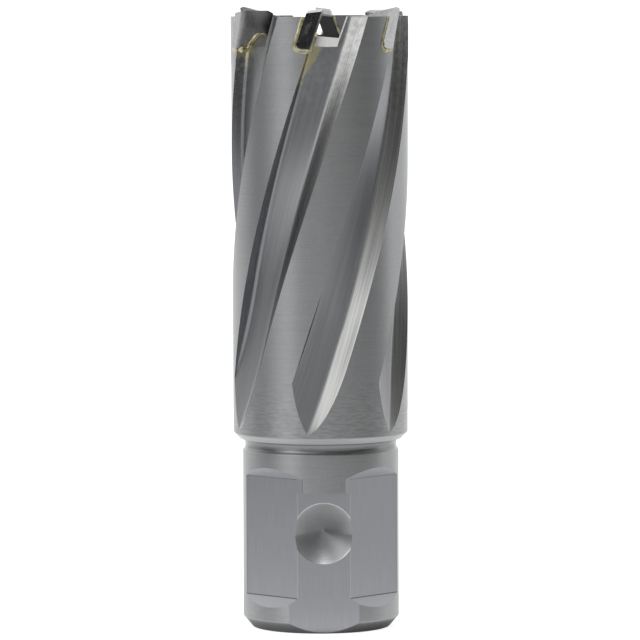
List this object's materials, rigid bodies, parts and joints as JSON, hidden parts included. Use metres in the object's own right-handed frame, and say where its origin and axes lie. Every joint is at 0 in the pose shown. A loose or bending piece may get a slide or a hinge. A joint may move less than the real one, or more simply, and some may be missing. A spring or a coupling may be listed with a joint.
{
  "type": "annular cutter",
  "caption": "Hollow annular cutter with brazed carbide tips, helical chip flutes and a short drive shank with flats and a locking dimple.",
  "frame": {"origin": "centre of the shank's end face, on the axis", "axes": "+Z along the axis towards the cutting tips; the centre flat and its dimple face -Y"},
  "size_m": [0.0216, 0.022, 0.0757],
  "materials": {
    "ground_steel": "turned and ground steel, satin, with fine circumferential lines",
    "carbide": "fine-ground tungsten carbide, dark grey",
    "braze": "dull yellow braze with a soft sheen"
  },
  "bodies": {
    "root": {"cutter_body": "ground_steel", "carbide_tip_1": "carbide", "carbide_tip_2": "carbide", "carbide_tip_3": "carbide", "carbide_tip_4": "carbide", "carbide_tip_5": "carbide", "carbide_tip_6": "carbide", "braze_joint_1": "braze", "braze_joint_2": "braze", "braze_joint_3": "braze", "braze_joint_4": "braze", "braze_joint_5": "braze", "braze_joint_6": "braze"}
  },
  "joints": []
}
